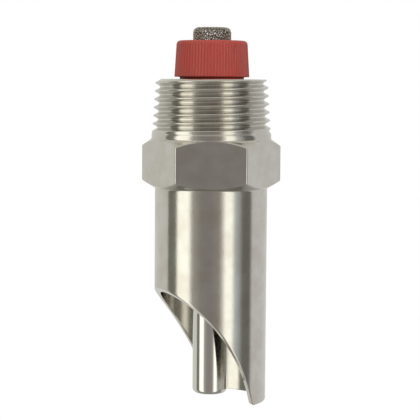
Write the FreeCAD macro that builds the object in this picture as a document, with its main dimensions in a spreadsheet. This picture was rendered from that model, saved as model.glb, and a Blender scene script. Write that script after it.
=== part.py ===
import FreeCAD, Part

import math
import os
import re

import Sketcher
from FreeCAD import Placement, Rotation, Vector

# A bite-type nipple drinker that screws into a water pipe and hangs mouth down. A turned body has a
# tapered inlet spigot, a hexagon for the wrench and a tube whose mouth is cut away on one side. A
# stem hangs through the web inside it: pushing the stem's free end tilts its head off a rubber seal.
#
# The axis is Z, with +Z towards the pipe. Z = 0 is where the inlet spigot meets the hexagon.
# Two of the hexagon's flats face -Y and +Y. Lengths are in millimetres, angles in degrees.

SIZES = (
    # Inlet spigot, which carries the taper pipe thread.
    ("inlet_height", 13.3, "spigot's height above the hexagon"),
    ("inlet_tip_radius", 12.6, "thread's outer radius at the spigot's end"),
    ("inlet_root_radius", 13.25, "thread's outer radius at the collar"),
    ("inlet_lead_in", 0.5, "chamfer at the spigot's end"),
    ("collar_radius", 13.4, "plain collar between thread and hexagon"),
    ("collar_height", 1.2, "collar's height above the hexagon"),
    # Hexagon.
    ("wrench_size", 27.0, "across the hexagon's flats"),
    ("hex_height", 10.7, "hexagon's height, chamfers included"),
    ("hex_blank_allowance", 0.5, "turned blank's radius beyond the hexagon's corners"),
    ("hex_top_angle", 35.0, "upper chamfer's slope from horizontal"),
    ("hex_foot_angle", 30.0, "lower chamfer's slope from horizontal"),
    ("hex_foot_radius", 13.0, "where the lower chamfer ends"),
    # Mouth tube and its slanted cut.
    ("tube_radius", 12.6, "outside radius of the mouth tube"),
    ("tube_length", 48.15, "from the hexagon to the tube's end"),
    ("tube_wall", 1.4, "wall of the mouth tube"),
    ("rim_break", 0.3, "chamfer on the outer edge of the tube's end"),
    ("mouth_azimuth", 205.5, "direction that the cut side faces, from +X"),
    ("mouth_depth", 25.8, "how far the cut reaches up from the tube's end"),
    ("mouth_radius", 48.0, "radius of the cut's arc"),
    ("tongue_offset", 5.0, "from the axis to the cut at the tube's end"),
    ("tongue_round", 1.2, "rounding where the cut meets the tube's end"),
    ("cut_margin", 2.0, "how far a cutting outline runs past the metal"),
    # Water way through the body.
    ("inlet_bore_depth", 8.8, "from the spigot's end to the ledge that stops the plug"),
    ("chamber_depth", 12.0, "from that ledge down to the seal's seat"),
    ("chamber_radius", 6.6, "valve chamber"),
    ("web_thickness", 5.5, "web between the chamber and the mouth"),
    ("guide_radius", 5.2, "hole in the web that the stem passes through"),
    # Seal ring.
    ("seal_thickness", 2.0, "rubber ring between seat and stem head"),
    ("seal_clearance", 0.1, "between the ring's outside and the chamber"),
    ("seal_round", 0.3, "rounding of the ring's edges"),
    # Stem.
    ("pin_radius", 3.9, "shank that hangs in the mouth"),
    ("pin_recess", 1.4, "from the tube's end up to the shank's end"),
    ("pin_end_round", 1.0, "rounding of the shank's end"),
    ("head_radius", 6.0, "head that rests on the seal"),
    ("head_thickness", 2.5, "head, without its spigot"),
    ("head_break", 0.3, "chamfer on the head's upper edge"),
    ("spring_spigot_height", 3.0, "spigot that centres the spring"),
    ("spring_spigot_gap", 0.3, "between that spigot and the spring's inside"),
    # Return spring.
    ("spring_radius", 4.1, "centre of the wire from the axis"),
    ("spring_wire_radius", 0.4, "half the wire's thickness"),
    ("spring_wire_sides", 8, "sides of the wire's section, which keep its mesh light"),
    ("spring_turns", 6, "coils between the ground ends"),
    # Screwed plug with its ribbed cap.
    ("plug_clearance", 0.25, "between the plug and the inlet bore"),
    ("plug_radius", 7.15, "plug, over its thread"),
    ("plug_lead_in", 0.5, "chamfer at the plug's end"),
    ("spring_pocket_depth", 4.5, "pocket in the plug for the spring's upper end"),
    ("spring_pocket_gap", 0.5, "between the spring's outside and that pocket"),
    ("cap_gap", 0.5, "between the spigot's end and the cap"),
    ("cap_height", 8.05, "ribbed cap"),
    ("cap_base_radius", 8.37, "cap at its lower edge"),
    ("cap_top_radius", 7.88, "cap at its upper edge, before rounding"),
    ("cap_round", 0.9, "rounding of the cap's upper edge"),
    ("rib_count", 72, "grip ribs round the cap"),
    ("rib_gap_share", 0.45, "share of the rib spacing that is groove"),
    ("rib_depth", 0.2, "depth of the grooves between ribs"),
    ("water_bore_radius", 3.2, "bore under the strainer"),
    # Strainer cup.
    ("strainer_radius", 4.17, "outside of the cup"),
    ("strainer_wall", 0.35, "thickness of the woven wall"),
    ("strainer_rise", 3.0, "how far the cup stands above the cap"),
    ("strainer_depth", 9.85, "how deep the cup sits in the cap"),
    ("strainer_round", 1.0, "rounding of the cup's closed end"),
    ("strainer_gap", 0.13, "between the cup and its bore"),
    ("mesh_columns", 24, "columns of gaps round the cup"),
    ("mesh_rows", 3, "rows of gaps down the cup's side"),
    ("mesh_rings", 2, "rings of gaps round the middle one in the closed end"),
    ("mesh_first_ring", 6, "gaps in the first of those rings, and so many more in each ring after it"),
    ("mesh_pitch", 1.0, "spacing of the gaps"),
    ("mesh_gap", 0.62, "width of one gap"),
)

# Levels and radii worked out from the sizes, as expressions.
LEDGE = "(inlet_height - inlet_bore_depth)"
SEAT = f"({LEDGE} - chamber_depth)"
WEB_UNDERSIDE = f"({SEAT} - web_thickness)"
TUBE_END = "(-hex_height - tube_length)"
MOUTH_TOP = f"({TUBE_END} + mouth_depth)"
CAVITY_RADIUS = "(tube_radius - tube_wall)"
INLET_BORE_RADIUS = "(plug_radius + plug_clearance)"
HEX_CORNER = "(wrench_size / 2 / cos(30))"
HEX_BLANK = f"({HEX_CORNER} + hex_blank_allowance)"
HEAD_UNDERSIDE = f"({SEAT} + seal_thickness)"
HEAD_TOP = f"({HEAD_UNDERSIDE} + head_thickness)"
SPRING_SPIGOT_TOP = f"({HEAD_TOP} + spring_spigot_height)"
SPRING_SPIGOT_RADIUS = "(spring_radius - spring_wire_radius - spring_spigot_gap)"
PIN_END = f"({TUBE_END} + pin_recess)"
SPRING_CEILING = f"({LEDGE} + spring_pocket_depth)"
SPRING_POCKET_RADIUS = "(spring_radius + spring_wire_radius + spring_pocket_gap)"
CAP_BASE = "(inlet_height + cap_gap)"
CAP_TOP = f"({CAP_BASE} + cap_height)"
STRAINER_SEAT = f"({CAP_TOP} - strainer_depth)"
STRAINER_TOP = f"({CAP_TOP} + strainer_rise)"
STRAINER_BORE_RADIUS = "(strainer_radius + strainer_gap)"
STRAINER_INSIDE = "(strainer_radius - strainer_wall)"

# Ends of a sketch edge, and the sketch's own axes, as Sketcher numbers them.
START, END, CENTRE = range(1, 4)
HORIZONTAL_AXIS, VERTICAL_AXIS = range(-1, -3, -1)
SAME_PLACE = 1e-4

doc = FreeCAD.newDocument("NippleDrinker")
sheet = doc.addObject("Spreadsheet::Sheet", "Sizes")
for row, (alias, size, meaning) in enumerate(SIZES, start=1):
    sheet.set(f"A{row}", meaning)
    sheet.set(f"B{row}", str(size))
    sheet.setAlias(f"B{row}", alias)
doc.recompute()


def bound(text):
    """The same expression with each size read from the sheet."""
    names = "|".join(alias for alias, _, _ in SIZES)
    return re.sub(rf"\b({names})\b", r"Sizes.\1", text)


def number(text):
    """The value of an expression at the present sizes."""
    return float(sheet.evalExpression(bound(text)))


def new_body(name):
    """An empty body for one piece of the drinker."""
    body = doc.addObject("PartDesign::Body", name)
    body.Label = name
    return body


def origin_item(body, role):
    """One of the body's own origin planes or axes."""
    return next(item for item in body.Origin.OriginFeatures if item.Role == role)


def new_sketch(body, name, plane, level=None, turn=None):
    """A sketch on one of the body's origin planes, raised to a level or turned about the Z axis."""
    sketch = body.newObject("Sketcher::SketchObject", f"{body.Name}_{name}")
    sketch.AttachmentSupport = [(origin_item(body, plane), "")]
    sketch.MapMode = "FlatFace"
    if level is not None:
        sketch.setExpression("AttachmentOffset.Base.z", bound(level))
    if turn is not None:
        sketch.AttachmentOffset = Placement(Vector(), Rotation(Vector(0, 1, 0), number(turn)))
        sketch.setExpression("AttachmentOffset.Rotation.Angle", bound(turn))
    return sketch


def hold(sketch, kind, *where, size):
    """A dimension of the sketch, bound to the sheet."""
    index = sketch.addConstraint(Sketcher.Constraint(kind, *where, number(size)))
    sketch.setExpression(f"Constraints[{index}]", bound(size))


def hold_point(sketch, edge, end, across=None, up=None):
    """Places a point by its distances from the sketch's axes. A distance of "0" puts it on one."""
    for kind, axis, size in (
        ("DistanceX", VERTICAL_AXIS, across),
        ("DistanceY", HORIZONTAL_AXIS, up),
    ):
        if size == "0":
            sketch.addConstraint(Sketcher.Constraint("PointOnObject", edge, end, axis))
        elif size is not None:
            hold(sketch, kind, edge, end, size=size)


def draw_outline(sketch, corners):
    """A closed outline of straight edges through corners, each a pair of expressions.

    An edge whose two ends share an expression is level or upright, so each size is stated once.
    """
    points = [Vector(number(across), number(up), 0) for across, up in corners]
    edges = [
        sketch.addGeometry(Part.LineSegment(point, points[(i + 1) % len(points)]), False)
        for i, point in enumerate(points)
    ]
    for i, edge in enumerate(edges):
        before = edges[i - 1]
        (across, up), (across_before, up_before) = corners[i], corners[i - 1]
        sketch.addConstraint(Sketcher.Constraint("Coincident", before, END, edge, START))
        if across == across_before:
            sketch.addConstraint(Sketcher.Constraint("Vertical", before))
            across = None
        if up == up_before:
            sketch.addConstraint(Sketcher.Constraint("Horizontal", before))
            up = None
        hold_point(sketch, edge, START, across, up)
    return edges


def draw_circle(sketch, radius, across="0", up="0"):
    """A full circle."""
    centre = Vector(number(across), number(up), 0)
    circle = sketch.addGeometry(Part.Circle(centre, Vector(0, 0, 1), number(radius)), False)
    hold(sketch, "Radius", circle, size=radius)
    hold_point(sketch, circle, CENTRE, across, up)
    return circle


def revolve(body, outline):
    """A turned piece: the outline, in radius and height, swept round the Z axis."""
    sketch = new_sketch(body, "profile", "XZ_Plane")
    draw_outline(sketch, outline)
    turned = body.newObject("PartDesign::Revolution", f"{body.Name}_turned")
    turned.Profile = sketch
    turned.ReferenceAxis = (sketch, ["V_Axis"])
    turned.Angle = 360
    doc.recompute()
    return turned


def pocket(body, sketch, name, depth=None, outward=False, both_ways=False):
    """Cuts a sketch out of the body, against its plane's normal unless outward.

    It cuts to a depth or, without one, through everything.
    """
    cut = body.newObject("PartDesign::Pocket", f"{body.Name}_{name}")
    cut.Profile = sketch
    cut.Reversed = outward
    cut.SideType = "Symmetric" if both_ways else "One side"
    if depth is None:
        cut.Type = "ThroughAll"
    else:
        cut.Type = "Length"
        cut.setExpression("Length", bound(depth))
    doc.recompute()
    return cut


def polar_pattern(body, feature, count):
    """Repeats a feature evenly round the Z axis."""
    pattern = body.newObject("PartDesign::PolarPattern", f"{feature.Name}_all_round")
    pattern.Originals = [feature]
    pattern.Axis = (origin_item(body, "Z_Axis"), [""])
    pattern.Angle = 360
    pattern.setExpression("Occurrences", bound(count))
    body.Tip = pattern
    doc.recompute()
    return pattern


def break_rims(body, name, size, rims, rounded=True):
    """Rounds or chamfers circular edges, each named by its radius and level."""
    base = body.Tip
    places = [(number(radius), number(level)) for radius, level in rims]
    chosen = [
        f"Edge{index}"
        for index, edge in enumerate(base.Shape.Edges, start=1)
        if isinstance(edge.Curve, Part.Circle)
        for radius, level in places
        if abs(edge.Curve.Radius - radius) < SAME_PLACE
        and abs(edge.Curve.Center.z - level) < SAME_PLACE
    ]
    kind, measure = ("Fillet", "Radius") if rounded else ("Chamfer", "Size")
    feature = body.newObject(f"PartDesign::{kind}", f"{body.Name}_{name}")
    feature.Base = (base, chosen)
    feature.setExpression(measure, bound(size))
    doc.recompute()
    return feature


def make_valve_body():
    """Inlet spigot, hexagon and mouth tube, turned from one hexagonal bar."""
    body = new_body("valve_body")
    revolve(
        body,
        (
            (INLET_BORE_RADIUS, "inlet_height"),
            ("inlet_tip_radius - inlet_lead_in", "inlet_height"),
            ("inlet_tip_radius", "inlet_height - inlet_lead_in"),
            ("inlet_root_radius", "collar_height"),
            ("collar_radius", "collar_height"),
            ("collar_radius", "0"),
            (HEX_BLANK, f"-({HEX_BLANK} - collar_radius) * tan(hex_top_angle)"),
            (HEX_BLANK, f"({HEX_BLANK} - hex_foot_radius) * tan(hex_foot_angle) - hex_height"),
            ("hex_foot_radius", "-hex_height"),
            ("tube_radius", "-hex_height"),
            ("tube_radius", f"{TUBE_END} + rim_break"),
            ("tube_radius - rim_break", TUBE_END),
            (CAVITY_RADIUS, TUBE_END),
            (CAVITY_RADIUS, WEB_UNDERSIDE),
            ("guide_radius", WEB_UNDERSIDE),
            ("guide_radius", SEAT),
            ("chamber_radius", SEAT),
            ("chamber_radius", LEDGE),
            (INLET_BORE_RADIUS, LEDGE),
        ),
    )
    cut_hexagon(body)
    cut_mouth(body)
    return body


def cut_hexagon(body):
    """Mills the six flats, which leaves the turned chamfers as arcs on them."""
    sketch = new_sketch(body, "flats", "XY_Plane")
    draw_circle(sketch, f"{HEX_BLANK} + cut_margin")
    half_corner, half_flats = f"{HEX_CORNER} / 2", "wrench_size / 2"
    draw_outline(
        sketch,
        (
            (HEX_CORNER, "0"),
            (half_corner, half_flats),
            (f"-{half_corner}", half_flats),
            (f"-{HEX_CORNER}", "0"),
            (f"-{half_corner}", f"-{half_flats}"),
            (half_corner, f"-{half_flats}"),
        ),
    )
    pocket(body, sketch, "hexagon", depth="hex_height")


def arc_centre(first, second, radius):
    """Centre of the circle through two points that lies to the lower left of both."""
    half = (second - first) / 2
    outward = Vector(half.y, -half.x, 0).normalize()
    return first + half + outward * math.sqrt(radius**2 - half.Length**2)


def cut_mouth(body):
    """Cuts the tube away along an arc, seen square to the plane of the mouth's symmetry.

    In the sketch +X points to the tongue that the cut leaves, opposite the mouth. The arc ends in
    a small rounding of the tongue's corner, and the outline closes outside the metal.
    """
    sketch = new_sketch(body, "mouth", "XZ_Plane", turn="mouth_azimuth - 180")
    top = Vector(-number("tube_radius"), number(MOUTH_TOP), 0)
    corner = Vector(number("tongue_offset"), number(TUBE_END), 0)
    radius, rounding = number("mouth_radius"), number("tongue_round")
    centre = arc_centre(top, corner, radius)
    left = -number("tube_radius + cut_margin")
    bottom = number(f"{TUBE_END} - cut_margin")
    arc_top = Vector(left, centre.y + math.sqrt(radius**2 - (left - centre.x) ** 2), 0)
    rise = corner.y + rounding - centre.y
    small_centre = Vector(centre.x + math.sqrt((radius + rounding) ** 2 - rise**2), 0, 0)
    small_centre.y = corner.y + rounding
    towards_small = math.atan2(small_centre.y - centre.y, small_centre.x - centre.x)
    towards_top = math.atan2(arc_top.y - centre.y, arc_top.x - centre.x)
    normal = Vector(0, 0, 1)
    arc = sketch.addGeometry(
        Part.ArcOfCircle(Part.Circle(centre, normal, radius), towards_small, towards_top), False
    )
    corner_arc = sketch.addGeometry(
        Part.ArcOfCircle(
            Part.Circle(small_centre, normal, rounding),
            towards_small + math.pi,
            3 * math.pi / 2,
        ),
        False,
    )
    tip = Vector(small_centre.x, corner.y, 0)
    closing = [tip, Vector(tip.x, bottom, 0), Vector(left, bottom, 0), arc_top]
    right_side, floor, left_side = (
        sketch.addGeometry(Part.LineSegment(a, b), False) for a, b in zip(closing, closing[1:])
    )
    for constraint in (
        ("Tangent", arc, START, corner_arc, START),
        ("Vertical", corner_arc, CENTRE, corner_arc, END),
        ("Coincident", corner_arc, END, right_side, START),
        ("Coincident", right_side, END, floor, START),
        ("Coincident", floor, END, left_side, START),
        ("Coincident", left_side, END, arc, END),
        ("Vertical", right_side),
        ("Horizontal", floor),
        ("Vertical", left_side),
    ):
        sketch.addConstraint(Sketcher.Constraint(*constraint))
    hold(sketch, "Radius", arc, size="mouth_radius")
    hold(sketch, "Radius", corner_arc, size="tongue_round")
    hold_point(sketch, corner_arc, END, up=TUBE_END)
    hold_point(sketch, left_side, END, across="-tube_radius - cut_margin")
    hold_point(sketch, floor, START, up=f"{TUBE_END} - cut_margin")
    for point, across, up in ((top, "-tube_radius", MOUTH_TOP), (corner, "tongue_offset", TUBE_END)):
        mark = sketch.addGeometry(Part.Point(point), True)
        hold_point(sketch, mark, START, across, up)
        sketch.addConstraint(Sketcher.Constraint("PointOnObject", mark, START, arc))
    pocket(body, sketch, "mouth_cut", both_ways=True)


def make_stem():
    """Shank, head and spring spigot, turned as one piece."""
    body = new_body("stem")
    revolve(
        body,
        (
            ("0", PIN_END),
            ("pin_radius", PIN_END),
            ("pin_radius", HEAD_UNDERSIDE),
            ("head_radius", HEAD_UNDERSIDE),
            ("head_radius", HEAD_TOP),
            (SPRING_SPIGOT_RADIUS, HEAD_TOP),
            (SPRING_SPIGOT_RADIUS, SPRING_SPIGOT_TOP),
            ("0", SPRING_SPIGOT_TOP),
        ),
    )
    break_rims(body, "free_end", "pin_end_round", (("pin_radius", PIN_END),))
    upper_rims = (("head_radius", HEAD_TOP), (SPRING_SPIGOT_RADIUS, SPRING_SPIGOT_TOP))
    break_rims(body, "upper_edges", "head_break", upper_rims, rounded=False)
    return body


def make_seal_ring():
    """Rubber ring that lies on the seat, under the stem's head."""
    body = new_body("seal_ring")
    outside = "chamber_radius - seal_clearance"
    corners = (
        ("guide_radius", SEAT),
        (outside, SEAT),
        (outside, HEAD_UNDERSIDE),
        ("guide_radius", HEAD_UNDERSIDE),
    )
    revolve(body, corners)
    break_rims(body, "edges", "seal_round", corners)
    return body


def make_return_spring():
    """Open coil of wire, its ends ground flat on the stem's head and in the plug."""
    body = new_body("return_spring")
    sketch = new_sketch(body, "wire", "XZ_Plane")
    sides = round(number("spring_wire_sides"))
    angles = [f"{360 / sides * (side + 0.5)}" for side in range(sides)]
    draw_outline(
        sketch,
        [
            (
                f"spring_radius + spring_wire_radius * cos({angle})",
                f"{HEAD_TOP} + spring_wire_radius * sin({angle})",
            )
            for angle in angles
        ],
    )
    coil = body.newObject("PartDesign::AdditiveHelix", "return_spring_coil")
    coil.Profile = sketch
    coil.ReferenceAxis = (sketch, ["V_Axis"])
    coil.Mode = "height-turns-angle"
    coil.setExpression("Height", bound(f"{SPRING_CEILING} - {HEAD_TOP}"))
    coil.setExpression("Turns", bound("spring_turns"))
    doc.recompute()
    for name, level, outward in (("foot", HEAD_TOP, False), ("top", SPRING_CEILING, True)):
        ground = new_sketch(body, f"{name}_plane", "XY_Plane", level=level)
        draw_circle(ground, "spring_radius + spring_wire_radius + cut_margin")
        pocket(body, ground, f"{name}_ground", outward=outward)
    return body


def make_inlet_cap():
    """Moulded plug with a ribbed cap, bored to hold the strainer above and the spring below."""
    body = new_body("inlet_cap")
    revolve(
        body,
        (
            ("water_bore_radius", STRAINER_SEAT),
            (STRAINER_BORE_RADIUS, STRAINER_SEAT),
            (STRAINER_BORE_RADIUS, CAP_TOP),
            ("cap_top_radius", CAP_TOP),
            ("cap_base_radius", CAP_BASE),
            ("plug_radius", CAP_BASE),
            ("plug_radius", LEDGE),
            (SPRING_POCKET_RADIUS, LEDGE),
            (SPRING_POCKET_RADIUS, SPRING_CEILING),
            ("water_bore_radius", SPRING_CEILING),
        ),
    )
    break_rims(body, "crown", "cap_round", (("cap_top_radius", CAP_TOP),))
    break_rims(body, "plug_end", "plug_lead_in", (("plug_radius", LEDGE),), rounded=False)
    sketch = new_sketch(body, "groove", "XZ_Plane")
    draw_outline(
        sketch,
        (
            ("cap_base_radius - rib_depth", CAP_BASE),
            ("cap_base_radius + cut_margin", CAP_BASE),
            ("cap_top_radius + cut_margin", f"{CAP_TOP} - cap_round"),
            ("cap_top_radius - rib_depth", f"{CAP_TOP} - cap_round"),
        ),
    )
    width = "2 * pi * cap_base_radius / rib_count * rib_gap_share"
    groove = pocket(body, sketch, "groove_cut", depth=width, both_ways=True)
    polar_pattern(body, groove, "rib_count")
    return body


def make_strainer():
    """Woven wire cup, closed end up. Rows of gaps in one thin wall stand for its weave."""
    body = new_body("strainer")
    revolve(
        body,
        (
            ("0", STRAINER_TOP),
            ("strainer_radius", STRAINER_TOP),
            ("strainer_radius", STRAINER_SEAT),
            (STRAINER_INSIDE, STRAINER_SEAT),
            (STRAINER_INSIDE, f"{STRAINER_TOP} - strainer_wall"),
            ("0", f"{STRAINER_TOP} - strainer_wall"),
        ),
    )
    inner_rim = ((STRAINER_INSIDE, f"{STRAINER_TOP} - strainer_wall"),)
    break_rims(body, "outer_shoulder", "strainer_round", (("strainer_radius", STRAINER_TOP),))
    break_rims(body, "inner_shoulder", "strainer_round - strainer_wall", inner_rim)
    inside_wall = "strainer_radius - 2 * strainer_wall"
    first_row = f"{STRAINER_TOP} - strainer_round - mesh_gap / 2"
    for row in range(round(number("mesh_rows"))):
        side = new_sketch(body, f"side_gap_{row}", "XZ_Plane", level=inside_wall)
        draw_gap(side, "0", f"{first_row} - mesh_pitch * {row}")
        gap = pocket(body, side, f"side_gap_cut_{row}", depth="cut_margin", outward=True)
        polar_pattern(body, gap, "mesh_columns")
    for ring in range(round(number("mesh_rings")) + 1):
        end = new_sketch(body, f"end_gap_{ring}", "XY_Plane", level=STRAINER_TOP)
        draw_gap(end, f"mesh_pitch * {ring}", "0")
        gap = pocket(body, end, f"end_gap_cut_{ring}", depth="strainer_round")
        if ring:
            polar_pattern(body, gap, f"{ring} * mesh_first_ring")
    return body


def draw_gap(sketch, across, up):
    """One square gap of the strainer, round a centre."""
    left, right = f"{across} - mesh_gap / 2", f"{across} + mesh_gap / 2"
    low, high = f"{up} - mesh_gap / 2", f"{up} + mesh_gap / 2"
    draw_outline(sketch, ((left, low), (right, low), (right, high), (left, high)))


def check_and_export(bodies):
    """Stops if anything in the document failed, then writes one STEP file for each piece."""
    doc.recompute()
    failed = [item.Label for item in doc.Objects if {"Invalid", "Error"} & set(item.State)]
    if failed:
        raise RuntimeError(f"features that failed: {', '.join(failed)}")
    for body in bodies:
        if body.Shape.isNull() or not body.Shape.isValid():
            raise RuntimeError(f"{body.Label} has no valid shape")
    os.makedirs("parts", exist_ok=True)
    for body in bodies:
        body.Shape.exportStep(f"parts/{body.Label}.step")
        print(f"{body.Label}: {len(body.Shape.Solids)} solid, {body.Shape.Volume:.1f} mm3")


check_and_export(
    [
        make_valve_body(),
        make_stem(),
        make_seal_ring(),
        make_return_spring(),
        make_inlet_cap(),
        make_strainer(),
    ]
)
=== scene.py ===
"""A nipple drinker dressed for its render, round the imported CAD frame.

Lengths are written in millimetres and turned into metres where a mesh is made.
"""

import math

import bpy
import numpy as np
from mathutils import Matrix, Vector


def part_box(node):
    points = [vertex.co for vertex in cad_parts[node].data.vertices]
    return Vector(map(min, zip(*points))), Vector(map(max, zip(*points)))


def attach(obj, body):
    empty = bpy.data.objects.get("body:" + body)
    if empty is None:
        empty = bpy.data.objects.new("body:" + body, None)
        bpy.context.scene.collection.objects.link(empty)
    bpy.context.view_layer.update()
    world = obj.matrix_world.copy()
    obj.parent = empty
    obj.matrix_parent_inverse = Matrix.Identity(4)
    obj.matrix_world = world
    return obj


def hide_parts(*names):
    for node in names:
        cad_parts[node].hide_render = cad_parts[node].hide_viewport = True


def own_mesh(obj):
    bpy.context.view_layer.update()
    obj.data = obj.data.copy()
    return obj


MM = 0.001
TURN = 2 * math.pi

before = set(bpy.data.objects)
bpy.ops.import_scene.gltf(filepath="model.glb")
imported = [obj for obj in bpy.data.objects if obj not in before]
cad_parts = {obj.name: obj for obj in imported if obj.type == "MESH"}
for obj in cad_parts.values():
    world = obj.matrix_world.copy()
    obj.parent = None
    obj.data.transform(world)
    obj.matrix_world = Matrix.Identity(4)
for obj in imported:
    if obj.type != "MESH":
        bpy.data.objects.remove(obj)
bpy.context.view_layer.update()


# ---------------------------------------------------------------- sizes, read from the frame


def span(node):
    """A CAD node's lowest and highest corner, in millimetres."""
    low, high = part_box(node)
    return low / MM, high / MM


body_low, body_high = span("valve_body")
cap_low, cap_high = span("inlet_cap")
stem_low, stem_high = span("stem")
seal_low, seal_high = span("seal_ring")
spring_low, spring_high = span("return_spring")
strainer_low, strainer_high = span("strainer")

INLET_TOP = body_high.z
TUBE_END = body_low.z
WRENCH_HALF = body_high.y
CAP_TOP = cap_high.z
CAP_RADIUS = cap_high.x
LEDGE = cap_low.z
SEAT = seal_low.z
HEAD_UNDERSIDE = seal_high.z
HEAD_TOP = spring_low.z
SPRING_CEILING = spring_high.z
HEAD_RADIUS = stem_high.x
STRAINER_RADIUS = strainer_high.x
STRAINER_TOP = strainer_high.z
STRAINER_SEAT = strainer_low.z

# Forms that the frame's boxes don't show.
THREAD_PITCH = 1.814
THREAD_TAPER = 1 / 16.2
THREAD_TIP = 12.56
THREAD_DEPTH = 1.1
THREAD_CREST_LEVEL = 11.5
LEAD_IN_RADIUS = 12.1
COLLAR_RADIUS = 13.4
COLLAR_TOP = 1.2
TUBE_RADIUS = 12.6
CAVITY_RADIUS = 11.2
HEX_FOOT = -10.7
HEX_FOOT_RADIUS = 13.0
HEX_TOP_SLOPE = math.tan(math.radians(35))
HEX_FOOT_SLOPE = math.tan(math.radians(30))
HEX_CORNER_ROUND = 0.5
HEX_EDGE = 0.16
INLET_BORE = 7.4
CHAMBER_RADIUS = 6.6
GUIDE_RADIUS = 5.2
WEB_UNDERSIDE = SEAT - 5.5
PIN_RADIUS = 3.9
MOUTH_RADIUS = 48.0
MOUTH_TOP = TUBE_END + 25.8
TONGUE_AZIMUTH = math.radians(25.5)
TONGUE_OFFSET = 5.0
TONGUE_ROUND = 1.2
END_CHAMFER = 0.3
CUT_BREAK = 0.12
WIRE_RADIUS = 0.4
SPRING_SPIGOT_GAP = 0.3
SPRING_POCKET = 5.0
WATER_BORE = 3.2
CAP_TAPER = 0.49
CAP_GAP = 0.5
STRAINER_GAP = 0.13

# The body's surfaces, in the order of its materials.
THREAD, PLAIN, CHAMFER, EDGE, FLAT, TUBE, CUT, INSIDE = range(8)


# ---------------------------------------------------------------- mesh helpers


def link(name, points, faces, body, nodes):
    """A smooth mesh piece from points in millimetres, riding on a CAD body in place of CAD nodes."""
    mesh = bpy.data.meshes.new(name)
    mesh.from_pydata([tuple(p) for p in np.asarray(points) * MM], [], faces)
    mesh.polygons.foreach_set("use_smooth", [True] * len(mesh.polygons))
    mesh.update()
    piece = bpy.data.objects.new(name, mesh)
    bpy.context.scene.collection.objects.link(piece)
    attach(piece, body)
    if nodes:
        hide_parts(*nodes)
    return piece


def grid_faces(rows, columns, closed):
    """Quads between neighbouring rows, each row a loop. closed joins the last row to the first."""
    faces = []
    for row in range(rows if closed else rows - 1):
        this, after = row * columns, (row + 1) % rows * columns
        for column in range(columns):
            beside = (column + 1) % columns
            faces.append((this + column, this + beside, after + beside, after + column))
    return faces


def turned(name, azimuths, rows, body, nodes, closed=True):
    """A turned piece: each row is (radius, height), numbers or one value for each azimuth.

    Rows run so that the metal is on their left, seen with the radius to the right and Z up. Where
    closed is false the first and last rows shrink to a point on the axis.
    """
    across, along = np.cos(azimuths), np.sin(azimuths)
    ones = np.ones_like(azimuths)
    points = [
        np.stack([radius * across, radius * along, height * ones], axis=1) for radius, height in rows
    ]
    points = np.concatenate(points)
    faces = grid_faces(len(rows), len(azimuths), closed)
    if not closed:
        count = len(azimuths)
        for row, turned_over in ((0, True), (len(rows) - 1, False)):
            tip = len(points)
            height = points[row * count][2]
            points = np.vstack([points, [0, 0, height]])
            for column in range(count):
                edge = [row * count + column, row * count + (column + 1) % count]
                faces.append((*(reversed(edge) if turned_over else edge), tip))
    return link(name, points, faces, body, nodes)


def paint(piece, *materials):
    """Gives a piece its materials, in the order of its faces' material numbers."""
    piece.data.materials.clear()
    for material in materials:
        piece.data.materials.append(material)


def weigh_normals(piece):
    """Lets large faces keep their own normals, so that narrow edges carry the rounding."""
    modifier = piece.modifiers.new("weighted_normals", "WEIGHTED_NORMAL")
    modifier.weight = 90
    modifier.keep_sharp = True


def even_azimuths(count):
    """That many directions round the axis."""
    return np.arange(count) * TURN / count


def soft_ramp(share, ease):
    """A ramp from 0 to 1 whose two corners are rounded over the given share of it."""
    share = np.clip(share, 0, 1)
    slope = 1 / (1 - ease)
    low = slope * share**2 / (2 * ease)
    high = 1 - slope * (1 - share) ** 2 / (2 * ease)
    middle = slope * (share - ease / 2)
    return np.where(share < ease, low, np.where(share > 1 - ease, high, middle))


def arc_points(centre, radius, start, end, steps):
    """(radius, height) rows along an arc in the section plane, angles in degrees."""
    return [
        (centre[0] + radius * math.cos(angle), centre[1] + radius * math.sin(angle))
        for angle in np.radians(np.linspace(start, end, steps))
    ]


# ---------------------------------------------------------------- valve body


def body_azimuths():
    """One column a degree, closer at the hexagon's corners and at the tongue's rounded corners."""
    degrees = set()
    for corner in range(0, 360, 60):
        degrees.update(corner + step for step in range(2, 59))
        degrees.update(corner + step for step in (-0.95, -0.72, -0.48, -0.24, 0, 0.24, 0.48, 0.72, 0.95))
    tongue = math.degrees(TONGUE_AZIMUTH)
    for side in (-1, 1):
        degrees.update(tongue + side * (59 + 0.5 * step) for step in range(19))
    wanted = sorted({round(d % 360, 2) for d in degrees})
    return np.radians([d for i, d in enumerate(wanted) if d - wanted[i - 1] > 0.1 or i == 0])


def hex_radius(azimuths):
    """The hexagon's outline, with its upright edges rounded. A flat faces the camera's side, -Y."""
    from_flat = (azimuths - math.radians(30)) % (TURN / 6)
    off = np.minimum(from_flat, TURN / 6 - from_flat)
    straight = WRENCH_HALF / np.cos(off)
    half = math.radians(30)
    centre = (WRENCH_HALF - HEX_CORNER_ROUND) / math.cos(half)
    beside = np.abs(half - off)
    inside = HEX_CORNER_ROUND**2 - (centre * np.sin(beside)) ** 2
    rounded = centre * np.cos(beside) + np.sqrt(np.maximum(inside, 0))
    tangent = math.atan2(HEX_CORNER_ROUND * math.sin(half), centre + HEX_CORNER_ROUND * math.cos(half))
    return np.where((beside < tangent) & (inside > 0), rounded, straight)


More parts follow.
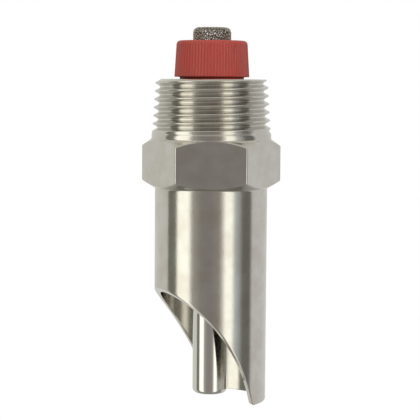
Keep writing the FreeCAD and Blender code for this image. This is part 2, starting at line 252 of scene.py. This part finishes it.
def thread_radius(height, azimuths):
    """The taper thread's surface: a right-hand V thread with a narrow crest and a rounder root."""
    crest = THREAD_TIP + (INLET_TOP - height) * THREAD_TAPER
    turns = (height - THREAD_CREST_LEVEL) / THREAD_PITCH - azimuths / TURN
    from_crest = np.abs(turns - np.round(turns)) * 2
    groove = soft_ramp((from_crest - 0.07) / 0.83, 0.16)
    run_out = soft_ramp((height - COLLAR_TOP) / 1.5, 0.3)
    return crest - THREAD_DEPTH * groove * run_out


def mouth_circle():
    """Centres of the cut's arc and of the tongue's rounded corner, across and up."""
    top = np.array([-TUBE_RADIUS, MOUTH_TOP])
    corner = np.array([TONGUE_OFFSET, TUBE_END])
    half = (corner - top) / 2
    length = np.hypot(*half)
    outward = np.array([half[1], -half[0]]) / length
    centre = top + half + outward * math.sqrt(MOUTH_RADIUS**2 - length**2)
    rise = TUBE_END + TONGUE_ROUND - centre[1]
    round_across = centre[0] + math.sqrt((MOUTH_RADIUS + TONGUE_ROUND) ** 2 - rise**2)
    return centre, np.array([round_across, TUBE_END + TONGUE_ROUND])


def mouth_level(across):
    """Height of the tube's lower edge, by the distance across towards the tongue."""
    centre, corner = mouth_circle()
    meet = corner + (centre - corner) * TONGUE_ROUND / (MOUTH_RADIUS + TONGUE_ROUND)
    big = centre[1] + np.sqrt(MOUTH_RADIUS**2 - (np.minimum(across, meet[0]) - centre[0]) ** 2)
    reach = np.clip(across - corner[0], -TONGUE_ROUND, 0)
    small = corner[1] - np.sqrt(TONGUE_ROUND**2 - reach**2)
    return np.where(across < meet[0], big, small)


def rim_rows(azimuths):
    """The cut edge of the tube, from its outer wall round to its inner wall."""
    towards_tongue = np.cos(azimuths - TONGUE_AZIMUTH)
    step = 0.01
    end_share = soft_ramp((TUBE_RADIUS * towards_tongue - TONGUE_OFFSET) / 1.6, 0.3)
    outer_break = CUT_BREAK + (END_CHAMFER - CUT_BREAK) * end_share
    inner_break = CUT_BREAK * 0.7
    hold = 0.22

    def row(radius, lift):
        across = radius * towards_tongue
        slope = (mouth_level(across + step) - mouth_level(across - step)) / (2 * step)
        return radius, mouth_level(across) + lift * np.sqrt(1 + slope**2)

    rows = [row(TUBE_RADIUS, outer_break + hold), row(TUBE_RADIUS, outer_break)]
    rows.append(row(TUBE_RADIUS - 0.3 * outer_break, 0.3 * outer_break))
    rows.append(row(TUBE_RADIUS - outer_break, 0))
    for share in (0.12, 0.5, 0.88):
        radius = (TUBE_RADIUS - outer_break) * (1 - share) + (CAVITY_RADIUS + inner_break) * share
        rows.append(row(radius, 0))
    rows.append(row(CAVITY_RADIUS + inner_break, 0))
    rows.append(row(CAVITY_RADIUS + 0.3 * inner_break, 0.3 * inner_break))
    rows.append(row(CAVITY_RADIUS, inner_break))
    rows.append(row(CAVITY_RADIUS, inner_break + hold))
    return rows


def make_valve_body():
    """Threaded spigot, collar, hexagon and mouth tube, with the water way inside."""
    azimuths = body_azimuths()
    zones, rows = [], []

    def add(zone, *new):
        rows.extend(new)
        zones.extend([zone] * len(new))

    # Inlet bore and end face.
    add(INSIDE, (INLET_BORE, LEDGE), (INLET_BORE, INLET_TOP - 0.4), (INLET_BORE + 0.02, INLET_TOP - 0.2))
    add(PLAIN, (INLET_BORE + 0.2, INLET_TOP))
    for share in (0.05, 0.35, 0.65, 0.95):
        outer = np.minimum(thread_radius(INLET_TOP, azimuths), LEAD_IN_RADIUS)
        add(PLAIN, (INLET_BORE + 0.2 + (outer - INLET_BORE - 0.2) * share, INLET_TOP))
    # Thread.
    for height in np.arange(INLET_TOP, COLLAR_TOP, -0.115):
        limit = LEAD_IN_RADIUS + (INLET_TOP - height)
        add(THREAD, (np.minimum(thread_radius(height, azimuths), limit), height))
    # Collar, and the hollow where it meets the hexagon's upper chamfer.
    add(PLAIN, (COLLAR_RADIUS, COLLAR_TOP - 0.1), (COLLAR_RADIUS, 0.5))
    outline = hex_radius(azimuths)
    hollow = [(COLLAR_RADIUS, 0.3), (COLLAR_RADIUS + 0.03, 0.12), (COLLAR_RADIUS + 0.06, 0.0)]
    for radius, height in hollow:
        add(PLAIN, (np.minimum(radius, outline), height))
    top_edge = -(outline - COLLAR_RADIUS) * HEX_TOP_SLOPE
    slope_length = outline - COLLAR_RADIUS - 0.06
    for share in (0.3, 0.65):
        radius = COLLAR_RADIUS + 0.06 + slope_length * share
        add(CHAMFER, (radius, -(radius - COLLAR_RADIUS) * HEX_TOP_SLOPE))
    edge = np.minimum(HEX_EDGE, slope_length * 0.5)
    near = outline - edge
    add(CHAMFER, (near, -(near - COLLAR_RADIUS) * HEX_TOP_SLOPE))
    add(EDGE, (outline - 0.25 * edge, top_edge - 0.12 * edge))
    add(EDGE, (outline, top_edge - edge))
    foot_edge = HEX_FOOT + (outline - HEX_FOOT_RADIUS) * HEX_FOOT_SLOPE
    for share in (0.03, 0.25, 0.5, 0.75, 0.97):
        add(FLAT, (outline, top_edge - edge + (foot_edge - top_edge + 2 * edge) * share))
    add(FLAT, (outline, foot_edge + edge))
    add(EDGE, (outline - 0.25 * edge, foot_edge + 0.12 * edge))
    near = outline - edge
    add(CHAMFER, (near, HEX_FOOT + (near - HEX_FOOT_RADIUS) * HEX_FOOT_SLOPE))
    for share in (0.35, 0.7):
        radius = near + (HEX_FOOT_RADIUS + 0.1 - near) * share
        add(CHAMFER, (radius, HEX_FOOT + (radius - HEX_FOOT_RADIUS) * HEX_FOOT_SLOPE))
    add(PLAIN, (HEX_FOOT_RADIUS + 0.1, HEX_FOOT + 0.05), (HEX_FOOT_RADIUS - 0.02, HEX_FOOT - 0.05))
    add(PLAIN, (TUBE_RADIUS + 0.12, HEX_FOOT - 0.12), (TUBE_RADIUS + 0.02, HEX_FOOT - 0.28))
    # Mouth tube.
    rim = rim_rows(azimuths)
    tube_top = HEX_FOOT - 0.5
    for share in (0, 0.02, 0.2, 0.4, 0.6, 0.8, 0.98):
        add(TUBE, (TUBE_RADIUS, tube_top + (rim[0][1] - tube_top) * share))
    add(TUBE, rim[0])
    add(CUT, *rim[1:-1])
    add(INSIDE, rim[-1])
    inner_top = WEB_UNDERSIDE - 0.5
    for share in (0.02, 0.3, 0.6, 0.98, 1):
        add(INSIDE, (CAVITY_RADIUS, rim[-1][1] + (inner_top - rim[-1][1]) * share))
    # Web, guide hole, seat and valve chamber.
    corner = arc_points((CAVITY_RADIUS - 0.5, WEB_UNDERSIDE - 0.5), 0.5, 30, 90, 3)
    add(INSIDE, *corner)
    inner = [
        (GUIDE_RADIUS + 0.5, WEB_UNDERSIDE),
        (GUIDE_RADIUS + 0.25, WEB_UNDERSIDE),
        (GUIDE_RADIUS, WEB_UNDERSIDE + 0.25),
        (GUIDE_RADIUS, WEB_UNDERSIDE + 0.6),
        (GUIDE_RADIUS, SEAT - 0.6),
        (GUIDE_RADIUS, SEAT - 0.15),
        (GUIDE_RADIUS + 0.15, SEAT),
        (GUIDE_RADIUS + 0.4, SEAT),
        (CHAMBER_RADIUS - 0.4, SEAT),
        (CHAMBER_RADIUS, SEAT),
        (CHAMBER_RADIUS, SEAT + 0.5),
        (CHAMBER_RADIUS, LEDGE - 0.5),
        (CHAMBER_RADIUS, LEDGE - 0.15),
        (CHAMBER_RADIUS + 0.15, LEDGE),
        (INLET_BORE - 0.3, LEDGE),
    ]
    add(INSIDE, *inner)
    piece = turned(
        "valve_body_metal", azimuths, rows[::-1], "valve_body", ["valve_body"]
    )
    count = len(azimuths)
    numbers = np.repeat(np.array(zones[::-1]), count)
    # A face takes the zone of the row above it in the list, which is the lower one of its two rows.
    shifted = np.concatenate([numbers[count:], numbers[:count]])
    piece.data.polygons.foreach_set("material_index", shifted.astype(np.int32))
    weigh_normals(piece)
    return piece


# ---------------------------------------------------------------- the other turned pieces


def make_stem():
    """Polished pin with its head and the small spigot inside the spring."""
    rows = [(0.4, stem_low.z)]
    rows += [(1.5, stem_low.z), (PIN_RADIUS - 1.3, stem_low.z)]
    rows += arc_points((PIN_RADIUS - 1.0, stem_low.z + 1.0), 1.0, -90, 0, 9)
    rows += [(PIN_RADIUS, stem_low.z + 1.3)]
    rows += [(PIN_RADIUS, level) for level in np.linspace(stem_low.z + 4, HEAD_UNDERSIDE - 0.8, 12)]
    rows += arc_points((PIN_RADIUS + 0.3, HEAD_UNDERSIDE - 0.3), 0.3, 180, 90, 4)
    rows += [(HEAD_RADIUS - 0.3, HEAD_UNDERSIDE), (HEAD_RADIUS - 0.1, HEAD_UNDERSIDE)]
    rows += [(HEAD_RADIUS, HEAD_UNDERSIDE + 0.1), (HEAD_RADIUS, HEAD_UNDERSIDE + 0.3)]
    rows += [(HEAD_RADIUS, HEAD_TOP - 0.6), (HEAD_RADIUS, HEAD_TOP - 0.3), (HEAD_RADIUS - 0.3, HEAD_TOP)]
    spigot = spring_high.x - 2 * WIRE_RADIUS - SPRING_SPIGOT_GAP
    rows += [(HEAD_RADIUS - 0.6, HEAD_TOP), (spigot + 0.2, HEAD_TOP), (spigot, HEAD_TOP + 0.2)]
    rows += [(spigot, HEAD_TOP + 0.5), (spigot, stem_high.z - 0.6), (spigot, stem_high.z - 0.3)]
    rows += [(spigot - 0.3, stem_high.z), (spigot - 0.6, stem_high.z), (0.4, stem_high.z)]
    piece = turned(
        "stem_pin", even_azimuths(128), rows, "stem", ["stem"], closed=False
    )
    weigh_normals(piece)
    return piece



def make_seal():
    """Moulded rubber ring with rounded edges."""
    outer, inner, rounding = seal_high.x, GUIDE_RADIUS, 0.3
    low, high = seal_low.z + rounding, seal_high.z - rounding
    rows = arc_points((outer - rounding, low), rounding, -90, 0, 5)
    rows += arc_points((outer - rounding, high), rounding, 0, 90, 5)
    rows += arc_points((inner + rounding, high), rounding, 90, 180, 5)
    rows += arc_points((inner + rounding, low), rounding, 180, 270, 5)
    return turned("seal_rubber", even_azimuths(96), rows, "seal", ["seal_ring"])


def tube_mesh(line, radius, sides, closed_ends=True):
    """Points and quads of a round wire along a line of points."""
    line = np.asarray(line, float)
    ahead = np.gradient(line, axis=0)
    ahead /= np.linalg.norm(ahead, axis=1)[:, None]
    normal = np.cross(ahead[0], [0.13, 0.21, 0.97])
    normals = []
    for direction in ahead:
        normal = normal - direction * normal.dot(direction)
        normal /= np.linalg.norm(normal)
        normals.append(normal)
    normals = np.array(normals)
    beside = np.cross(ahead, normals)
    around = np.arange(sides) * TURN / sides
    points = (
        line[:, None, :]
        + radius * np.cos(around)[None, :, None] * normals[:, None, :]
        + radius * np.sin(around)[None, :, None] * beside[:, None, :]
    ).reshape(-1, 3)
    faces = grid_faces(len(line), sides, False)
    if closed_ends:
        last = (len(line) - 1) * sides
        faces.append(tuple(reversed(range(sides))))
        faces.append(tuple(range(last, last + sides)))
    return points, faces


def make_spring():
    """Coil of round wire with closed, ground ends."""
    turns, dead = 6.0, 0.9
    coil_radius = spring_high.x - WIRE_RADIUS
    share = np.linspace(0, 1, 400)
    angle = share * TURN * (turns + 2 * dead)
    rise = np.clip((angle / TURN - dead) / turns, 0, 1)
    free = SPRING_CEILING - HEAD_TOP
    level = HEAD_TOP + WIRE_RADIUS * 0.4 + (free - 0.8 * WIRE_RADIUS) * rise
    closing = WIRE_RADIUS * 1.9
    level += closing * np.clip(angle / TURN / dead, 0, 1) * (1 - rise) - closing * rise * np.clip(
        (turns + 2 * dead - angle / TURN) / dead, 0, 1
    )
    line = np.stack([coil_radius * np.cos(angle), coil_radius * np.sin(angle), level], axis=1)
    points, faces = tube_mesh(line, WIRE_RADIUS, 10)
    points[:, 2] = np.clip(points[:, 2], HEAD_TOP, SPRING_CEILING)
    piece = link(
        "spring_wire", points, faces, "valve_body", ["return_spring"]
    )
    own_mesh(piece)
    return piece


def make_cap():
    """Red plug: a ribbed cap above, its screw thread below, bored for strainer and spring."""
    ribs, across_rib, groove = 72, 10, 0.2
    azimuths = even_azimuths(ribs * across_rib)
    from_rib = np.abs((azimuths / TURN * ribs + 0.5) % 1 - 0.5) * 2
    ridge = soft_ramp((from_rib - 0.3) / 0.5, 0.35)
    base, top = CAP_RADIUS, CAP_RADIUS - CAP_TAPER
    cap_base, crown = INLET_TOP + CAP_GAP, 0.9
    bore = STRAINER_RADIUS + STRAINER_GAP
    plug, plug_root, plug_pitch = 7.15, 0.45, 1.5

    def side(level):
        return base + (top - base) * (level - cap_base) / (CAP_TOP - cap_base)

    rows = [(WATER_BORE, SPRING_CEILING + 0.1), (WATER_BORE, STRAINER_SEAT - 0.1)]
    rows += [(WATER_BORE + 0.1, STRAINER_SEAT)]
    rows += [(bore - 0.1, STRAINER_SEAT), (bore, STRAINER_SEAT + 0.1), (bore, CAP_TOP - 0.5)]
    rows += [(bore, CAP_TOP - 0.2), (bore + 0.06, CAP_TOP - 0.06), (bore + 0.2, CAP_TOP)]
    rows += [(bore + 0.5, CAP_TOP), (bore + 1.6, CAP_TOP - 0.01), (top - crown - 0.3, CAP_TOP - 0.03)]
    for angle in np.radians(np.linspace(90, 4, 9)):
        level = CAP_TOP - crown + crown * math.sin(angle)
        radius = side(CAP_TOP - crown) - crown + crown * math.cos(angle)
        fade = soft_ramp((80 - math.degrees(angle)) / 60, 0.3)
        rows.append((radius - groove * ridge * fade, level))
    for level in np.linspace(CAP_TOP - crown - 0.1, cap_base + 0.35, 8):
        rows.append((side(level) - groove * ridge, level))
    rows.append((side(cap_base) - groove * ridge, cap_base + 0.2))
    rows.append((side(cap_base) - 0.05 - groove * ridge, cap_base + 0.06))
    rows.append((side(cap_base) - 0.2 - 0.8 * groove * ridge, cap_base))
    rows.append((side(cap_base) - 0.5, cap_base))
    rows += [(plug + 0.3, cap_base), (plug + 0.1, cap_base - 0.05), (plug, cap_base - 0.25)]
    for level in np.arange(cap_base - 0.6, LEDGE + 0.5, -0.15):
        turns = level / plug_pitch - azimuths / TURN
        depth = soft_ramp((np.abs(turns - np.round(turns)) * 2 - 0.2) / 0.6, 0.3)
        run_out = min(1, (cap_base - 0.6 - level) / 1.5)
        rows.append((plug - plug_root * depth * run_out, level))
    rows += [(plug - 0.55, LEDGE), (plug - 0.9, LEDGE), (SPRING_POCKET + 0.2, LEDGE)]
    rows += [(SPRING_POCKET, LEDGE + 0.2), (SPRING_POCKET, SPRING_CEILING - 0.2)]
    rows += [(SPRING_POCKET - 0.1, SPRING_CEILING), (WATER_BORE + 0.2, SPRING_CEILING)]
    return turned(
        "cap_moulding", azimuths, rows[::-1], "cap", ["inlet_cap"]
    )


def make_strainer():
    """Woven wire cup: a square weave drawn over the cup, and the plain sleeve that it ends in."""
    wire, pitch, shoulder = 0.13, 0.62, 1.0
    flat = STRAINER_RADIUS - shoulder - wire
    reach = flat + shoulder * math.pi / 2 + 3.0
    top = STRAINER_TOP - wire * 2

    def drawn(plane):
        """Wraps flat cloth over the cup: the middle stays flat, the rest goes down its side."""
        distance = np.hypot(plane[:, 0], plane[:, 1])
        towards = plane / np.maximum(distance, 1e-9)[:, None]
        bend = np.clip((distance - flat) / shoulder, 0, math.pi / 2)
        down = np.maximum(distance - flat - shoulder * math.pi / 2, 0)
        radius = np.minimum(distance, flat) + shoulder * np.sin(bend)
        level = top - shoulder * (1 - np.cos(bend)) - down
        lean = np.stack([np.sin(bend), np.cos(bend)], axis=1)
        place = np.column_stack([towards * radius[:, None], level])
        outward = np.column_stack([towards * lean[:, :1], lean[:, 1]])
        return place, outward

    all_points, all_faces = [], []
    turn = math.radians(19)
    spin = np.array([[math.cos(turn), -math.sin(turn)], [math.sin(turn), math.cos(turn)]])
    count = int(reach / pitch)
    start = 0
    for family in (0, 1):
        for number in range(-count, count + 1):
            offset = number * pitch
            half = math.sqrt(max(reach**2 - offset**2, 0))
            if half < pitch:
                continue
            along = np.linspace(-half, half, max(8, int(2 * half / 0.13)))
            wave = np.cos(math.pi * along / pitch + math.pi * (number + family))
            plane = np.stack([along, np.full_like(along, offset)], axis=1)
            if family:
                plane = plane[:, ::-1]
            sway = 0.05 * np.sin(along * 1.7 + number * 2.3 + family)
            plane = plane + np.stack([sway * family, sway * (1 - family)], axis=1)
            place, outward = drawn(plane @ spin.T)
            line = place + outward * (wave * wire * 0.9)[:, None]
            points, faces = tube_mesh(line, wire, 6)
            all_points.append(points)
            all_faces.extend(tuple(start + i for i in face) for face in faces)
            start += len(points)
    weave = link(
        "strainer_weave", np.concatenate(all_points), all_faces, "strainer", ["strainer"]
    )
    outer, inner = STRAINER_RADIUS - 0.02, STRAINER_RADIUS - 0.34
    low, high = STRAINER_SEAT, CAP_TOP - 0.3
    rows = [(outer, low), (outer, low + 0.2), (outer, high - 0.2), (outer, high)]
    rows += [(inner, high), (inner, high - 0.2), (inner, low + 0.2), (inner, low)]
    sleeve = turned("strainer_sleeve", even_azimuths(64), rows, "strainer", [])
    return weave, sleeve


# ---------------------------------------------------------------- materials


class Shader:
    """A node material under construction."""

    def __init__(self, name):
        self.material = bpy.data.materials.new(name)
        self.material.use_nodes = True
        self.tree = self.material.node_tree
        self.surface = self.tree.nodes["Principled BSDF"]
        self.place = self.add("ShaderNodeTexCoord").outputs["Object"]

    def add(self, kind, **settings):
        node = self.tree.nodes.new(kind)
        for key, value in settings.items():
            setattr(node, key, value)
        return node

    def feed(self, socket, value):
        if isinstance(value, bpy.types.NodeSocket):
            self.tree.links.new(value, socket)
        else:
            socket.default_value = value

    def set(self, **values):
        for key, value in values.items():
            self.feed(self.surface.inputs[key.replace("_", " ")], value)

    def stretched(self, scale):
        node = self.add("ShaderNodeMapping")
        self.feed(node.inputs["Vector"], self.place)
        node.inputs["Scale"].default_value = scale
        return node.outputs["Vector"]

    def noise(self, scale, detail=3.0, rough=0.55, where=None, distortion=0.0):
        node = self.add("ShaderNodeTexNoise")
        self.feed(node.inputs["Vector"], where or self.place)
        node.inputs["Scale"].default_value = scale
        node.inputs["Detail"].default_value = detail
        node.inputs["Roughness"].default_value = rough
        node.inputs["Distortion"].default_value = distortion
        return node.outputs["Fac"]

    def cells(self, scale, where=None, feature="F1"):
        node = self.add("ShaderNodeTexVoronoi", feature=feature)
        self.feed(node.inputs["Vector"], where or self.place)
        node.inputs["Scale"].default_value = scale
        return node.outputs["Distance"]

    def remap(self, value, low, high, to_low, to_high):
        node = self.add("ShaderNodeMapRange", clamp=True)
        self.feed(node.inputs["Value"], value)
        for key, number in (("From Min", low), ("From Max", high), ("To Min", to_low), ("To Max", to_high)):
            node.inputs[key].default_value = number
        return node.outputs["Result"]

    def maths(self, operation, first, second=0.0):
        node = self.add("ShaderNodeMath", operation=operation)
        self.feed(node.inputs[0], first)
        self.feed(node.inputs[1], second)
        return node.outputs[0]

    def blend(self, share, first, second):
        node = self.add("ShaderNodeMix", data_type="RGBA")
        self.feed(node.inputs["Factor"], share)
        colours = [socket for socket in node.inputs if socket.type == "RGBA"]
        for socket, value in zip(colours, (first, second)):
            self.feed(socket, value if isinstance(value, bpy.types.NodeSocket) else (*value, 1))
        return next(socket for socket in node.outputs if socket.type == "RGBA")

    def bump(self, height, strength, distance, before=None):
        node = self.add("ShaderNodeBump")
        node.inputs["Strength"].default_value = strength
        node.inputs["Distance"].default_value = distance * MM
        self.feed(node.inputs["Height"], height)
        if before:
            self.feed(node.inputs["Normal"], before)
        return node.outputs["Normal"]


STEEL = (0.66, 0.65, 0.615)
STEEL_WARM = (0.60, 0.575, 0.53)


def steel(name, roughness, specks, colour=STEEL, shade=STEEL_WARM, pits=0.0, grain=5200):
    """Plated steel: fine specks, a slow change of tone and, where asked, small pits.

    A larger grain number makes the specks finer.
    """
    shader = Shader(name)
    slow = shader.noise(220, detail=2)
    fine = shader.noise(grain, detail=2, rough=0.6)
    shader.set(Metallic=1.0)
    tone = shader.blend(shader.remap(slow, 0.35, 0.65, 0, 1), colour, shade)
    pit = shader.cells(1500)
    pit_mask = shader.remap(pit, 0.10, 0.2, 1, 0)
    chosen = shader.remap(shader.noise(900, detail=1), 0.56, 0.62, 0, 1)
    pit_mask = shader.maths("MULTIPLY", pit_mask, chosen)
    shader.set(Base_Color=tone)
    shader.set(Roughness=shader.remap(fine, 0.3, 0.7, roughness * 0.8, roughness * 1.25))
    normal = shader.bump(fine, specks, 0.03)
    if pits:
        height = shader.maths("SUBTRACT", 1.0, pit_mask)
        normal = shader.bump(height, pits, 0.02, before=normal)
    shader.set(Normal=normal)
    return shader.material


FLAT_DARK = (0.7152, 0.9487, 0.9900)
FLAT_BRIGHT = (0.9900, 0.9900, 0.9900)
RED = (0.2388, 0.0326, 0.0242)
RED_SHADE = (0.2204, 0.0355, 0.0279)


def flat_steel():
    """The hexagon's flats: darker bare steel, mottled and scratched."""
    shader = Shader("steel_flats")
    shader.set(Metallic=1.0, Roughness=0.22)
    blotch = shader.noise(2600, detail=4, rough=0.6, distortion=0.6)
    shader.set(Base_Color=shader.blend(shader.remap(blotch, 0.4, 0.62, 0, 1), FLAT_DARK, FLAT_BRIGHT))
    normal = shader.bump(blotch, 0.8, 0.08)
    shader.set(Normal=normal)
    return shader.material


def pin_steel():
    """The pin's polish, with faint marks along it."""
    shader = Shader("steel_polished")
    shader.set(Metallic=1.0, Base_Color=(0.74, 0.73, 0.70, 1))
    marks = shader.noise(500, detail=3, where=shader.stretched((1, 1, 0.15)))
    shader.set(Roughness=shader.remap(marks, 0.3, 0.7, 0.05, 0.12))
    shader.set(Normal=shader.bump(marks, 0.05, 0.01))
    return shader.material


def red_plastic():
    """Moulded red plastic, slightly satin."""
    shader = Shader("plastic_red")
    slow = shader.noise(260, detail=3)
    shader.set(
        Base_Color=shader.blend(
            shader.remap(slow, 0.35, 0.65, 0, 1), RED, RED_SHADE
        )
    )
    fine = shader.noise(3500, detail=2)
    shader.set(Roughness=shader.remap(fine, 0.3, 0.7, 0.38, 0.5))
    shader.set(Normal=shader.bump(fine, 0.12, 0.01))
    shader.surface.inputs["Specular IOR Level"].default_value = 0.4
    return shader.material


def wire_steel(name, colour, shade, roughness):
    """Drawn wire with a slightly uneven, dulled surface."""
    shader = Shader(name)
    slow = shader.noise(1600, detail=2)
    shader.set(Metallic=1.0)
    shader.set(Base_Color=shader.blend(shader.remap(slow, 0.4, 0.6, 0, 1), colour, shade))
    shader.set(Roughness=shader.remap(shader.noise(4000), 0.3, 0.7, roughness * 0.8, roughness * 1.2))
    return shader.material


def rubber():
    """Matt black moulded rubber."""
    shader = Shader("rubber_black")
    fine = shader.noise(3000, detail=3)
    tone = shader.remap(fine, 0.3, 0.7, 0, 1)
    shader.set(Base_Color=shader.blend(tone, (0.022, 0.022, 0.024), (0.04, 0.04, 0.042)))
    shader.set(Roughness=shader.remap(fine, 0.3, 0.7, 0.6, 0.8))
    shader.set(Normal=shader.bump(fine, 0.2, 0.01))
    return shader.material


# ---------------------------------------------------------------- studio


# Light by direction round the object, in degrees from the camera, and by height.
SIDE_BANDS = [
    (-180, (0.72, 0.72, 0.69)),
    (-99, (0.72, 0.71, 0.66)),
    (-96, (0.20, 0.20, 0.17)),
    (-76, (0.24, 0.24, 0.20)),
    (-70, (1.55, 1.53, 1.38)),
    (-46, (1.55, 1.53, 1.38)),
    (-38, (0.46, 0.44, 0.40)),
    (-20, (0.30, 0.28, 0.25)),
    (0, (0.28, 0.26, 0.25)),
    (18, (0.34, 0.31, 0.28)),
    (26, (0.9, 0.86, 0.78)),
    (30, (1.5, 1.48, 1.34)),
    (44, (1.5, 1.48, 1.34)),
    (50, (0.66, 0.68, 0.68)),
    (64, (0.36, 0.38, 0.38)),
    (68, (0.2, 0.19, 0.17)),
    (88, (0.18, 0.17, 0.16)),
    (94, (0.70, 0.69, 0.68)),
    (180, (0.72, 0.72, 0.69)),
]
OVERHEAD = (0.66, 0.64, 0.57)
OVERHEAD_SHARE = [(-1, 0), (0.45, 0), (0.8, 1), (1, 1)]
UNDERFOOT = (0.30, 0.29, 0.27)
UNDERFOOT_SHARE = [(-1, 1), (-0.85, 1), (-0.5, 0), (1, 0)]


def studio_world():
    """Soft studio light as bands by direction, and plain white behind the object."""
    world = bpy.data.worlds.new("studio")
    bpy.context.scene.world = world
    world.use_nodes = True
    tree = world.node_tree
    nodes, links = tree.nodes, tree.links
    nodes.clear()
    output = nodes.new("ShaderNodeOutputWorld")
    background = nodes.new("ShaderNodeBackground")
    links.new(background.outputs[0], output.inputs["Surface"])
    direction = nodes.new("ShaderNodeTexCoord").outputs["Generated"]
    parts = nodes.new("ShaderNodeSeparateXYZ")
    links.new(direction, parts.inputs[0])

    def maths(operation, first, second=0.0):
        node = nodes.new("ShaderNodeMath")
        node.operation = operation
        for socket, value in zip(node.inputs, (first, second)):
            if isinstance(value, bpy.types.NodeSocket):
                links.new(value, socket)
            else:
                socket.default_value = value
        return node.outputs[0]

    def ramp(value, stops):
        node = nodes.new("ShaderNodeValToRGB")
        elements = node.color_ramp.elements
        node.color_ramp.interpolation = "LINEAR"
        while len(elements) > 1:
            elements.remove(elements[-1])
        elements[0].position, elements[0].color = stops[0][0], (*stops[0][1], 1)
        for position, colour in stops[1:]:
            elements.new(position).color = (*colour, 1)
        links.new(value, node.inputs[0])
        return node.outputs[0]

    def mix(share, first, second):
        node = nodes.new("ShaderNodeMix")
        node.data_type = "RGBA"
        links.new(share, node.inputs["Factor"])
        colours = [socket for socket in node.inputs if socket.type == "RGBA"]
        for socket, value in zip(colours, (first, second)):
            if isinstance(value, bpy.types.NodeSocket):
                links.new(value, socket)
            else:
                socket.default_value = (*value, 1)
        return next(socket for socket in node.outputs if socket.type == "RGBA")

    # Direction round the object: 0 towards the camera, positive to the right.
    angle = maths("ARCTAN2", parts.outputs[0], maths("MULTIPLY", parts.outputs[1], -1.0))
    share = maths("ADD", maths("DIVIDE", angle, TURN), 0.5)
    sides = ramp(share, [(0.5 + degrees / 360, colour) for degrees, colour in SIDE_BANDS])
    height = maths("ADD", maths("MULTIPLY", parts.outputs[2], 0.5), 0.5)
    over = ramp(height, [(0.5 + 0.5 * level, (value,) * 3) for level, value in OVERHEAD_SHARE])
    under = ramp(height, [(0.5 + 0.5 * level, (value,) * 3) for level, value in UNDERFOOT_SHARE])
    light = mix(over, sides, OVERHEAD)
    light = mix(under, light, UNDERFOOT)
    path = nodes.new("ShaderNodeLightPath")
    colour = mix(path.outputs["Is Camera Ray"], light, (1, 1, 1))
    links.new(colour, background.inputs["Color"])
    background.inputs["Strength"].default_value = 1.0


def soft_light(name, place, size, power, colour):
    """A broad lamp for the plastic, which polished metal doesn't mirror."""
    data = bpy.data.lights.new(name, "AREA")
    data.shape = "DISK"
    data.size = size
    data.energy = power
    data.color = colour
    lamp = bpy.data.objects.new(name, data)
    bpy.context.scene.collection.objects.link(lamp)
    lamp.location = place
    lamp.rotation_euler = (Vector((0, 0, -0.015)) - Vector(place)).to_track_quat("-Z", "Y").to_euler()
    lamp.visible_glossy = False
    return lamp


def make_floor():
    """A plain pale floor well below the hanging drinker."""
    mesh = bpy.data.meshes.new("floor")
    half, level = 30.0, -0.19
    corners = [(-half, -half, level), (half, -half, level), (half, half, level), (-half, half, level)]
    mesh.from_pydata(corners, [], [(0, 1, 2, 3)])
    floor = bpy.data.objects.new("floor", mesh)
    bpy.context.scene.collection.objects.link(floor)
    material = bpy.data.materials.new("floor_white")
    material.use_nodes = True
    tree = material.node_tree
    tree.nodes.clear()
    output = tree.nodes.new("ShaderNodeOutputMaterial")
    glow = tree.nodes.new("ShaderNodeEmission")
    glow.inputs["Color"].default_value = (1, 1, 1, 1)
    tree.links.new(glow.outputs[0], output.inputs["Surface"])
    mesh.materials.append(material)
    floor.visible_glossy = False
    floor.visible_diffuse = False
    floor.visible_shadow = False
    return floor


def make_camera():
    """A long lens a little above the hexagon, rolled by the small lean that the view has."""
    target = Vector((-0.199, 0, -16.0)) * MM
    distance, elevation, roll = 332.97 * MM, math.radians(4.90), math.radians(0.4165)
    data = bpy.data.cameras.new("camera")
    data.sensor_width = 36.0
    data.lens = 126.88
    data.clip_start = 0.01
    data.clip_end = 100
    camera = bpy.data.objects.new("camera", data)
    bpy.context.scene.collection.objects.link(camera)
    back = Vector((0, -math.cos(elevation), math.sin(elevation)))
    turn = Matrix.Rotation(math.pi / 2 - elevation, 4, "X") @ Matrix.Rotation(roll, 4, "Z")
    camera.matrix_world = Matrix.Translation(target + back * distance) @ turn
    bpy.context.scene.camera = camera


# ---------------------------------------------------------------- build

metal = make_valve_body()
threads = steel("steel_thread", 0.14, 0.3, grain=2600)
plain = steel("steel_plain", 0.20, 0.04)
chamfers = steel("steel_chamfer", 0.26, 0.05)
# The hexagon's edge rows take a lighter copy of the steel colour, a painted highlight along the edges, with
# a smoother finish.
edges = steel("steel_edge_painted_highlight", 0.15, 0.02, colour=(0.8, 0.79, 0.76), shade=(0.74, 0.73, 0.7))
tube = steel("steel_tube", 0.16, 0.7, pits=0.6, grain=3200)
cut = steel("steel_cut", 0.25, 0.07)
inside = steel("steel_inside", 0.18, 0.04, colour=(0.58, 0.56, 0.48), shade=(0.52, 0.5, 0.42))
paint(metal, threads, plain, chamfers, edges, flat_steel(), tube, cut, inside)
paint(make_stem(), pin_steel())
paint(make_seal(), rubber())
paint(make_spring(), wire_steel("spring_bright", (0.6, 0.6, 0.58), (0.5, 0.5, 0.49), 0.25))
paint(make_cap(), red_plastic())
for piece in make_strainer():
    paint(piece, wire_steel("weave_dull", (0.55, 0.51, 0.46), (0.36, 0.33, 0.3), 0.35))

studio_world()
soft_light("key", (-0.35, -0.75, 0.55), 0.5, 9.0, (1, 0.98, 0.95))
soft_light("fill", (0.6, -0.6, 0.25), 0.6, 6.0, (0.97, 0.98, 1))
make_floor()
make_camera()
bpy.context.scene.view_settings.view_transform = "Standard"
